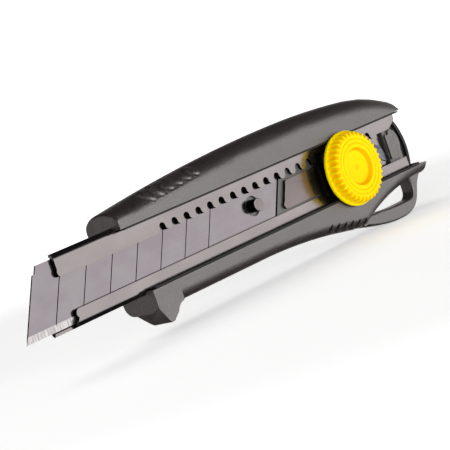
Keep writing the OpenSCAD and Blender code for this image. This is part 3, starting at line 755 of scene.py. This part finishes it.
@dataclass
class Dial:
    """Lock dial: a base ring, fluted side, round shoulder, ringed face and a dish."""

    radius: float = 11.55
    ring_height: float = 0.85
    side_inset: float = 0.35
    shoulder: float = 1.0
    flutes: int = 36
    columns: int = 10
    flute_depth: float = 0.6
    flute_half: float = 0.36
    flute_side: float = 0.12
    flute_start: float = 0.1
    flute_rise: float = 0.3
    flute_reach: float = 2.0
    dish_radius: float = 5.8
    dish_depth: float = 1.35
    groove_radii: tuple[float, float] = (8.5, 7.2)
    nut_radius: float = 4.35

    def build(self) -> None:
        """Makes the dial and dresses the nut in it."""
        low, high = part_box("lock_dial")
        self.centre = Vector(((low.x + high.x) / 2, high.y, (low.z + high.z) / 2)) / MM
        self.height = (high.y - low.y) / MM
        # The second colour is a painted shade: a deeper orange for the dial's hollows.
        plastic = GlossPlastic("polished_yellow_plastic", "#ffe200", "#ffb400").build()
        piece = self.turned()
        self.cut_flutes(piece)
        self.paint_flute_shade(piece)
        only(piece)
        bpy.ops.object.shade_smooth_by_angle(angle=math.radians(50))
        settle(piece, Body.DIAL, "dial_plastic", plastic, "lock_dial")
        keep("dial_nut", TurnedMetal("turned_brass", "#b08a3c", "#8d6a2c").build())

    def profile(self) -> list[tuple[float, float]]:
        """Returns radius and height of each ring, from the base's edge to the middle."""
        top = self.height
        side = self.radius - self.side_inset
        rings = [(self.radius, 0.0), (self.radius, 0.35), (self.radius, self.ring_height - 0.2),
                 (self.radius - 0.08, self.ring_height - 0.05), (side + 0.05, self.ring_height),
                 (side, self.ring_height + 0.15)]
        steps = 5
        rise = top - self.shoulder - self.ring_height - 0.3
        rings += [(side - 0.35 * i / steps, self.ring_height + 0.3 + rise * i / steps)
                  for i in range(1, steps + 1)]
        edge = side - 0.35
        for i in range(1, 7):
            a = math.radians(15 * i)
            rings.append((edge - self.shoulder * (1 - math.cos(a)),
                          top - self.shoulder * (1 - math.sin(a))))
        for r in self.groove_radii:
            rings += [(r + 0.34, top), (r + 0.2, top - 0.04), (r + 0.1, top - 0.2),
                      (r - 0.1, top - 0.2), (r - 0.2, top - 0.04), (r - 0.34, top)]
        d, h = self.dish_radius, self.dish_depth
        rings += [(d + 0.35, top), (d + 0.12, top - 0.05), (d - 0.05, top - 0.2),
                  (d - 0.25, top - 0.6), (d - 0.4, top - h + 0.3), (d - 0.6, top - h + 0.08),
                  (d - 1.0, top - h), (d * 0.5, top - h), (1.1, top - h), (0.9, top - h - 0.05),
                  (0.7, top - h - 0.2), (0.3, top - h - 0.24)]
        return rings

    def turned(self) -> bpy.types.Object:
        """Makes the round body by insetting and pushing one disc ring by ring.

        Returns:
            The new object.
        """
        count = self.flutes * self.columns
        rings = self.profile()
        bpy.ops.object.select_all(action="DESELECT")
        bpy.ops.mesh.primitive_circle_add(
            vertices=count, radius=rings[0][0] * MM, fill_type="NGON",
            location=self.centre * MM, rotation=(math.radians(90), 0, 0))
        piece = bpy.context.object
        piece.name = "fluted_dial"
        bpy.ops.object.transform_apply(location=True, rotation=True, scale=True)
        bpy.ops.object.mode_set(mode="EDIT")
        bpy.ops.mesh.select_all(action="SELECT")
        for (r0, h0), (r1, h1) in zip(rings, rings[1:]):
            bpy.ops.mesh.extrude_region_move(
                TRANSFORM_OT_translate={"value": (0, -(h1 - h0) * MM, 0)})
            share = r1 / r0
            middle = (self.centre - Vector((0, h1, 0))) * MM
            bpy.ops.transform.resize(value=(share, 1, share), center_override=middle)
        bpy.ops.mesh.select_all(action="SELECT")
        bpy.ops.mesh.normals_make_consistent(inside=False)
        leave_edit()
        return piece

    def around(self, place: Vector) -> tuple[float, float, float]:
        """Radius, height and column of a point.

        Args:
            place: The point, in millimetres.

        Returns:
            Its radius, its height over the base and its distance from a flute's middle, in flutes.
        """
        out = place - self.centre
        turn = math.atan2(out.z, out.x) / math.tau * self.flutes
        return math.hypot(out.x, out.z), -out.y, abs(turn - round(turn))

    def sunk(self, place: Vector) -> float:
        """How deep a flute is at a point, from 0 to 1.

        Args:
            place: The point, in millimetres.

        Returns:
            The share of the full depth.
        """
        radius, height, off = self.around(place)
        start = self.ring_height + self.flute_start
        if height < start or radius < self.radius - self.flute_reach:
            return 0.0
        across = max(0.0, min(1.0, (self.flute_half - off) / self.flute_side))
        rise = max(0.0, min(1.0, (height - start) / self.flute_rise))
        return across * rise

    def cut_flutes(self, piece: bpy.types.Object) -> None:
        """Draws the flutes' columns towards the axis.

        Args:
            piece: The turned dial.
        """
        for level, depth in ((0.17, 0.3), (0.5, 0.8), (1.0, 1.0)):
            def picked(place: Vector, level: float = level) -> bool:
                """Whether a point is in the flutes to this level."""
                return abs(self.sunk(place) - level) < 0.1

            if select_where(piece, "VERT", picked):
                share = 1 - depth * self.flute_depth / self.radius
                bpy.ops.transform.resize(value=(share, 1, share), center_override=self.centre * MM)
            leave_edit()

    def paint_flute_shade(self, piece: bpy.types.Object) -> None:
        """Stores how sheltered each point is, as painted shade for the deeper orange colour.

        Args:
            piece: The fluted dial.
        """
        values = []
        for vertex in piece.data.vertices:
            place = vertex.co / MM
            radius, height, _ = self.around(place)
            # Painted shade: flute bottoms, the dish wall, the face's rings and the middle get a deeper
            # orange.
            value = 0.8 * self.sunk(place)
            if radius < self.dish_radius + 0.1 and height < self.height - 0.15:
                value = 0.85 if radius > self.dish_radius - 0.7 else 0.0
            if any(abs(radius - r) < 0.15 for r in self.groove_radii):
                value = 0.5
            if radius < 0.95:
                value = 0.4
            values.append(value)
        layer = piece.data.attributes.new("depth", "FLOAT", "POINT")
        layer.data.foreach_set("value", values)


@dataclass
class Cutting:
    """Rail, blade and the slider that carries it."""

    plate_round: float = 0.12
    plate_edge: tuple[float, float] = (-10.6, -10.2)
    rail_edge: tuple[float, float] = (0.06, 0.74)
    rail_edge_height: float = 8.4
    bevel_height: float = 1.95
    blade_skin: float = 0.04
    peg_rim: float = 0.3
    peg_land: float = 0.5
    peg_dish: float = 0.08
    peg_round: float = 0.16

    def build(self) -> None:
        """Makes and dresses the rail, the blade and the slider's pieces."""
        low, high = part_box("snap_off_blade")
        near, far = low.y / MM, high.y / MM
        rail_low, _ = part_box("blade_rail")
        # The rail's cut edges get painted shade, near black, between the rail_edge depths and below
        # rail_edge_height.
        rail = RolledSteel("darkened_sheet_steel", "#979393", "#8a8788", "#0b0a0a",
                           tuple(rail_low.y / MM + y for y in self.rail_edge),
                           self.rail_edge_height).build()
        keep("blade_rail", rail)
        blade = GroundBlade("ground_blade_steel", "#918e92", "#888388", "#ffffff", "#0d0c0d",
                            low.z / MM, self.bevel_height,
                            (near + self.blade_skin, far - self.blade_skin)).build()
        keep("snap_off_blade", blade)
        black = GrainedPlastic("black_acetal", "#0e0d0d", "#161514", roughness=0.38).build()
        keep("blade_slider", black)
        self.plate()
        self.peg()
        steel = TurnedMetal("zinc_plated_steel", "#b5b4b3", "#93918f").build()
        for node in ("rail_screws", "plate_rivets", "clamp_screw", "thrust_washer", "lift_spring"):
            keep(node, steel)
        dark = TurnedMetal("blackened_steel", "#3a3838", "#2a2828", roughness=0.35).build()
        keep("shell_screws", dark)
        shoe = merged_copy("lock_shoe", "toothed_clamp_block")
        soften(shoe, 0.2)
        settle(shoe, Body.CLAMP, "slider_plastic", black, "lock_shoe")

    def plate(self) -> None:
        """Makes the bright plate on the slider."""
        piece = merged_copy("slider_plate", "slider_bright_plate")
        soften(piece, self.plate_round)
        metal = RolledSteel("satin_nickel_plate", "#827a7b", "#746d6e", "#2a2828",
                            self.plate_edge, 0.0, roughness=0.2, line_mm=0.12, tone=0.05).build()
        settle(piece, Body.SLIDER, "plate_steel", metal, "slider_plate")

    def peg(self) -> None:
        """Makes the peg with a pale, slightly dished end."""
        low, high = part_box("blade_pin")
        radius = (high.x - low.x) / 2
        depth = high.y - low.y
        bpy.ops.object.select_all(action="DESELECT")
        bpy.ops.mesh.primitive_cylinder_add(
            vertices=48, radius=radius, depth=depth, end_fill_type="NGON",
            location=(low + high) / 2, rotation=(math.radians(90), 0, 0))
        piece = bpy.context.object
        piece.name = "blade_peg"
        bpy.ops.object.transform_apply(location=True, rotation=True, scale=True)
        select_where(piece, "FACE", lambda centre, normal: normal.y < -0.9)
        bpy.ops.mesh.inset(thickness=self.peg_rim * MM)
        bpy.ops.mesh.inset(thickness=self.peg_land * MM)
        bpy.ops.transform.translate(value=(0, self.peg_dish * MM, 0))
        leave_edit()
        soften(piece, self.peg_round, 3, 60)
        dark = TurnedMetal("blackened_peg", "#191818", "#0f0e0e", roughness=0.3).build()
        pale = TurnedMetal("worn_peg_end", "#8c8988", "#7b7877", roughness=0.3).build()
        settle(piece, Body.SLIDER, "pin_steel", dark, "blade_pin")
        piece.data.materials.append(pale)
        face = low.y / MM
        for polygon in piece.data.polygons:
            flat = abs(polygon.normal.y) > 0.9 and polygon.center.y / MM < face + 0.3
            polygon.material_index = 1 if flat else 0


@dataclass
class RearEnd:
    """Stopper plate and spring leaf at the rear of the rail."""

    panel_inset: float = 0.75
    panel_depth: float = 0.12

    def build(self) -> None:
        """Makes and dresses the two pieces."""
        self.stopper()
        leaf = merged_copy("stopper_leaf", "spring_leaf")
        soften(leaf, 0.1)
        blue = TurnedMetal("blued_spring_steel", "#7d808a", "#4c505b", roughness=0.22).build()
        settle(leaf, Body.HANDLE, "spring_steel", blue, "stopper_leaf")

    def stopper(self) -> None:
        """Makes the stopper plate with a sunk, coarse panel in its near face."""
        piece = merged_copy("end_stopper", "rear_stopper")
        low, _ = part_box("end_stopper")
        face = low.y / MM
        select_where(piece, "FACE", lambda centre, normal: normal.y < -0.9 and centre.y < face + 0.1)
        bpy.ops.mesh.inset(thickness=self.panel_inset * MM)
        bpy.ops.transform.translate(value=(0, self.panel_depth * MM, 0))
        leave_edit()
        plain = GrainedPlastic("moulded_nylon", "#3c3837", "#55504e", roughness=0.5).build()
        panel = GrainedPlastic("coarse_moulded_nylon", "#1d1b1b", "#5c5654", grain_mm=0.55,
                               relief_mm=0.15, roughness=0.5).build()
        settle(piece, Body.STOPPER, "stopper_plastic", plain, "end_stopper")
        piece.data.materials.append(panel)
        for polygon in piece.data.polygons:
            sunk = abs(polygon.center.y / MM - face - self.panel_depth) < 0.02
            polygon.material_index = 1 if sunk and polygon.normal.y < -0.9 else 0
        smooth(piece)


# ---- Stage ----


@dataclass
class Stage:
    """Pale floor, soft light and camera. Places are in metres, but the floor's grain in millimetres."""

    floor_half: float = 3.0
    shadow_reach: float = 0.16
    floor_glow: float = 0.52
    floor_grain: float = 60.0
    camera_place: tuple[float, float, float] = (-0.38981, -0.37251, 0.04618)
    right: tuple[float, float, float] = (0.64366, -0.69210, -0.32665)
    up: tuple[float, float, float] = (0.29305, -0.17140, 0.94061)
    forward: tuple[float, float, float] = (0.70698, 0.70115, -0.09250)
    lens: float = 146.17
    sensor: float = 36.0

    def build(self) -> None:
        """Makes the floor, the sky, the lights and the camera."""
        bpy.context.scene.view_settings.view_transform = "Standard"
        self.floor()
        self.sky()
        self.softbox("key", Vector((0.2, -0.97, 0.1)), 1.0, 0.3, 4.0, mirrored=True)
        self.softbox("fill", Vector((-0.9, -0.4, 0.2)), 1.1, 0.8, 6.0)
        self.softbox("overhead", Vector((-0.2, 0.3, 1.0)), 1.0, 0.9, 3.5)
        self.camera()

    def floor(self) -> None:
        """Makes the floor under the knife's lowest point."""
        low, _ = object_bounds()
        bpy.ops.object.select_all(action="DESELECT")
        bpy.ops.mesh.primitive_plane_add(size=2 * self.floor_half, location=(0, 0, low.z - 0.1 * MM))
        floor = bpy.context.object
        floor.name = "floor"
        material, tree, shader = start_material("white_sweep", Roughness=0.9, Specular_IOR_Level=0.1)
        here = add(tree, "TexCoord", output="Object")
        grain = add(tree, "TexNoise", {0: here, "Scale": per_metre(self.floor_grain)[0], "Detail": 2.0})
        colour = add(tree, "Mix", {0: grain, 6: linear("#f4f4f4"), 7: linear("#f7f7f7")}, 2,
                     data_type="RGBA")
        # The floor glows, dimmer within shadow_reach of the middle, a painted darker disc round the
        # knife where its cast shadow falls, and brighter beyond.
        away = add(tree, "VectorMath", {0: here}, "Value", operation="LENGTH")
        glow = add(tree, "MapRange", {0: away, 1: self.shadow_reach, 2: self.shadow_reach * 2.5,
                                      3: self.floor_glow, 4: 1.08})
        connect(tree, shader, Base_Color=colour, Emission_Strength=glow)
        shader.inputs["Emission Color"].default_value = (1, 1, 1, 1)
        dress(floor, material)
        floor.visible_glossy = False
        floor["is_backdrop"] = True

    def sky(self) -> None:
        """Makes the surroundings: white near the horizon, dark overhead."""
        world = bpy.data.worlds.new("studio")
        bpy.context.scene.world = world
        world.use_nodes = True
        tree = world.node_tree
        background = tree.nodes["Background"]
        way = add(tree, "TexCoord", output="Generated")
        parts = add(tree, "SeparateXYZ", {0: way}, "X").node.outputs
        ahead = add(tree, "Math", {0: parts["X"], 1: parts["Y"]}, operation="SUBTRACT")
        dark = 0.015
        overhead, below, left, front = (
            add(tree, "MapRange", {0: source, 1: low, 2: high, 3: start, 4: end})
            for source, low, high, start, end in (
                (parts["Z"], 0.12, 0.34, 1.0, dark), (parts["Z"], -0.5, -0.3, dark, 1.0),
                (parts["X"], -0.45, 0.1, 0.32, 1.0), (ahead, 0.3, 1.3, 1.15, 1.4)))
        value = add(tree, "Math", {
            0: add(tree, "Math", {0: overhead, 1: below}, operation="MULTIPLY"),
            1: add(tree, "Math", {0: front, 1: left}, operation="MULTIPLY")}, operation="MULTIPLY")
        background.inputs["Color"].default_value = linear("#fffaf8")
        tree.links.new(value, background.inputs["Strength"])

    def softbox(self, name: str, direction: Vector, distance: float, size: float,
                power: float, mirrored: bool = False) -> None:
        """Adds a soft light that faces the knife's middle.

        Args:
            name: The light's name.
            direction: Where it stands, seen from the knife.
            distance: How far it stands away.
            size: Its width and height.
            power: Its power in watts.
            mirrored: Whether glossy surfaces mirror it.
        """
        data = bpy.data.lights.new(name, "AREA")
        data.shape = "SQUARE"
        data.size = size
        data.energy = power
        light = bpy.data.objects.new(name, data)
        light.visible_glossy = mirrored
        light.location = direction.normalized() * distance
        light.rotation_mode = "QUATERNION"
        light.rotation_quaternion = (-direction).to_track_quat("-Z", "Y")
        bpy.context.scene.collection.objects.link(light)

    def camera(self) -> None:
        """Makes the camera."""
        data = bpy.data.cameras.new("camera")
        data.lens = self.lens
        data.sensor_width = self.sensor
        data.clip_start = 0.01
        data.clip_end = 20.0
        camera = bpy.data.objects.new("camera", data)
        axes = Matrix((self.right, self.up, -Vector(self.forward))).transposed()
        camera.matrix_world = Matrix.Translation(self.camera_place) @ axes.to_4x4()
        bpy.context.scene.collection.objects.link(camera)
        bpy.context.scene.camera = camera


def main() -> None:
    """Builds the knife and its stage."""
    logging.basicConfig(level=logging.INFO, format="%(name)s %(message)s")
    for assembly in (Handle(), Cutting(), Dial(), RearEnd(), Stage()):
        LOG.info("building %s", type(assembly).__name__)
        assembly.build()


if __name__ == "__main__":
    main()
